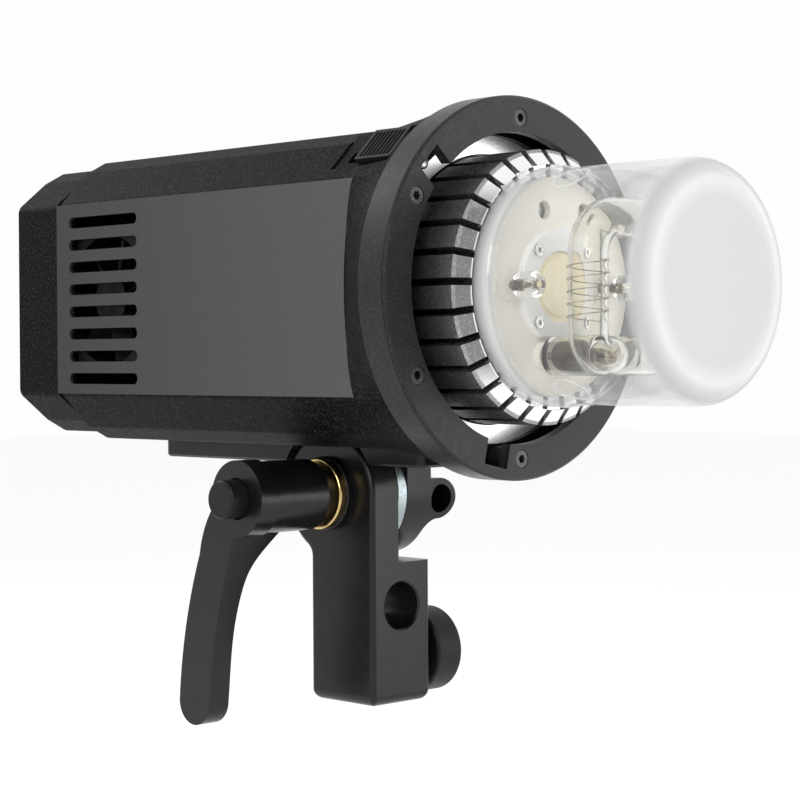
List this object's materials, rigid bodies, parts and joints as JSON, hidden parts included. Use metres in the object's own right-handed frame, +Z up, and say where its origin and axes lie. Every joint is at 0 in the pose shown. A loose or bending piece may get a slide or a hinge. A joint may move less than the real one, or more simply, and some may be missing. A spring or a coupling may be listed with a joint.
{
  "type": "monolight strobe",
  "caption": "Battery studio flash head with bayonet ring, glass dome and ring flash tube on a lever-locked tilting stand bracket.",
  "frame": {"origin": "centre of the mouth of the vertical stand socket, on the bracket's underside", "axes": "+Z up along the stand socket; the lamp faces -Y; the tilt lever and vents are on the -X side, the battery and stand knob on +X"},
  "size_m": [0.1254, 0.3028, 0.2099],
  "materials": {
    "satin_black": "satin powder coat on cast aluminium",
    "ring_grey": "smooth anodised-look satin coat",
    "fin_grey": "machined fins, dark anodised with bright bevels",
    "textured_black": "fine spark-eroded texture",
    "panel_grey": "smooth satin",
    "button_black": "satin moulded",
    "key_grey": "satin moulded",
    "power_key": "satin moulded",
    "rubber": "soft matt",
    "brass": "turned",
    "zinc": "zinc plated",
    "steel": "turned steel",
    "black_screw": "black oxide",
    "spring_steel": "wound wire",
    "reflector": "bright satin reflector",
    "cream": "ceramic-filled cream plate",
    "white": "white moulded holder",
    "ceramic": "unglazed ceramic",
    "phosphor": "yellow phosphor",
    "clear_glass": "clear and frosted borosilicate",
    "tube_glass": "clear quartz tube",
    "electrode": "nickel and tungsten",
    "pcb": "green solder mask",
    "cap_sleeve": "shrink sleeve",
    "copper": "enamelled copper winding",
    "fan_black": "moulded",
    "display": "LCD glass",
    "smoke_window": "clear hard-coated window",
    "cell_wrap": "cell wrap",
    "sensor_red": "translucent red"
  },
  "bodies": {
    "bracket": {"stand_bracket": "satin_black", "brass_collar": "brass"},
    "clamp_pad": {"clamp_pad": "brass"},
    "stand_knob": {"stand_knob": "button_black", "knob_screw": "steel"},
    "head": {"friction_washer": "zinc", "mount_plate": "satin_black", "plate_screws": "black_screw", "main_housing": "textured_black", "side_panel": "panel_grey", "rear_cap": "textured_black", "rear_screws": "black_screw", "bayonet_ring": "ring_grey", "ring_screws": "black_screw", "slider_track": "textured_black", "reflector_plate": "reflector", "fin_drum": "fin_grey", "lamp_base": "cream", "led_holder": "white", "led_cob": "phosphor", "led_screws": "steel", "tube_sockets": "ceramic", "main_board": "pcb", "capacitor_bank": "cap_sleeve", "charging_transformer": "copper", "trigger_coil": "copper", "control_board": "pcb", "speaker": "fan_black", "fan_frame": "fan_black", "lcd_module": "display", "lcd_window": "smoke_window", "sync_jack": "button_black", "usb_socket": "steel", "sensor_window": "sensor_red"},
    "tilt_lever": {"tilt_lever": "satin_black", "tilt_screw": "steel", "lever_spring": "spring_steel"},
    "lever_button": {"lever_button": "button_black"},
    "lock_slider": {"lock_slider": "button_black", "lock_pin": "steel", "slider_spring": "spring_steel"},
    "glass_dome": {"glass_dome": "clear_glass"},
    "flash_tube": {"flash_tube": "tube_glass", "tube_electrodes": "electrode", "trigger_wire": "electrode"},
    "fan_rotor": {"fan_rotor": "fan_black"},
    "control_dial": {"control_dial": "button_black"},
    "set_button": {"set_button": "key_grey"},
    "mode_button": {"mode_button": "key_grey"},
    "group_button": {"group_button": "key_grey"},
    "lamp_button": {"lamp_button": "key_grey"},
    "sync_button": {"sync_button": "key_grey"},
    "test_button": {"test_button": "key_grey"},
    "power_button": {"power_button": "power_key"},
    "port_cover": {"port_cover": "rubber"},
    "battery": {"battery_case": "textured_black", "battery_cells": "cell_wrap", "battery_contacts": "brass"},
    "battery_latch": {"battery_latch": "button_black"}
  },
  "joints": [
    {"name": "pad_slide", "type": "slide", "parent": "bracket", "child": "clamp_pad", "axis": [-1, 0, 0], "range_m": [0, 0.002]},
    {"name": "knob_turn", "type": "hinge", "parent": "clamp_pad", "child": "stand_knob", "pos_m": [0, 0, 0.0152], "axis": [-1, 0, 0], "range_deg": [0, 577]},
    {"name": "head_tilt", "type": "hinge", "parent": "bracket", "child": "head", "pos_m": [0, 0.0063, 0.0726], "axis": [1, 0, 0], "range_deg": [-40, 42]},
    {"name": "lever_turn", "type": "hinge", "parent": "bracket", "child": "tilt_lever", "pos_m": [0, 0.0063, 0.0726], "axis": [1, 0, 0], "range_deg": [-30, 0]},
    {"name": "lever_button_press", "type": "slide", "parent": "tilt_lever", "child": "lever_button", "axis": [1, 0, 0], "range_m": [0, 0.0035], "stiffness_N_per_m": 600, "springref_m": -0.001, "deforming": ["lever_spring"]},
    {"name": "lock_slide", "type": "slide", "parent": "head", "child": "lock_slider", "axis": [0, 1, 0], "range_m": [0, 0.006], "stiffness_N_per_m": 400, "springref_m": -0.001, "deforming": ["slider_spring"]},
    {"name": "dome_pull", "type": "slide", "parent": "head", "child": "glass_dome", "axis": [0, -1, 0], "range_m": [0, 0.07]},
    {"name": "tube_unplug", "type": "slide", "parent": "head", "child": "flash_tube", "axis": [0, -1, 0], "range_m": [0, 0.012]},
    {"name": "fan_spin", "type": "hinge", "parent": "head", "child": "fan_rotor", "pos_m": [0, 0.088, 0.141], "axis": [1, 0, 0], "continuous": true},
    {"name": "dial_turn", "type": "hinge", "parent": "head", "child": "control_dial", "pos_m": [0, 0, 0.1206], "axis": [0, 1, 0], "continuous": true},
    {"name": "set_button_press", "type": "slide", "parent": "control_dial", "child": "set_button", "axis": [0, -1, 0], "range_m": [0, 0.001], "stiffness_N_per_m": 400, "springref_m": -0.0008},
    {"name": "mode_button_press", "type": "slide", "parent": "head", "child": "mode_button", "axis": [0, -1, 0], "range_m": [0, 0.0015], "stiffness_N_per_m": 250, "springref_m": -0.0008},
    {"name": "group_button_press", "type": "slide", "parent": "head", "child": "group_button", "axis": [0, -1, 0], "range_m": [0, 0.0015], "stiffness_N_per_m": 250, "springref_m": -0.0008},
    {"name": "lamp_button_press", "type": "slide", "parent": "head", "child": "lamp_button", "axis": [0, -1, 0], "range_m": [0, 0.0015], "stiffness_N_per_m": 250, "springref_m": -0.0008},
    {"name": "sync_button_press", "type": "slide", "parent": "head", "child": "sync_button", "axis": [0, -1, 0], "range_m": [0, 0.0015], "stiffness_N_per_m": 250, "springref_m": -0.0008},
    {"name": "test_button_press", "type": "slide", "parent": "head", "child": "test_button", "axis": [0, -1, 0], "range_m": [0, 0.0015], "stiffness_N_per_m": 250, "springref_m": -0.0008},
    {"name": "power_button_press", "type": "slide", "parent": "head", "child": "power_button", "axis": [0, -1, 0], "range_m": [0, 0.0015], "stiffness_N_per_m": 250, "springref_m": -0.0008},
    {"name": "port_cover_open", "type": "hinge", "parent": "head", "child": "port_cover", "pos_m": [0, 0.145, 0.0974], "axis": [-1, 0, 0], "range_deg": [0, 110]},
    {"name": "battery_slide", "type": "slide", "parent": "head", "child": "battery", "axis": [1, 0, 0], "range_m": [0, 0.045]},
    {"name": "battery_latch_press", "type": "slide", "parent": "battery", "child": "battery_latch", "axis": [-1, 0, 0], "range_m": [0, 0.0018], "stiffness_N_per_m": 400, "springref_m": -0.0008}
  ],
  "couplings": [
    {"joint": "knob_turn", "follows": "pad_slide", "rad_per_m": 5026.5}
  ]
}
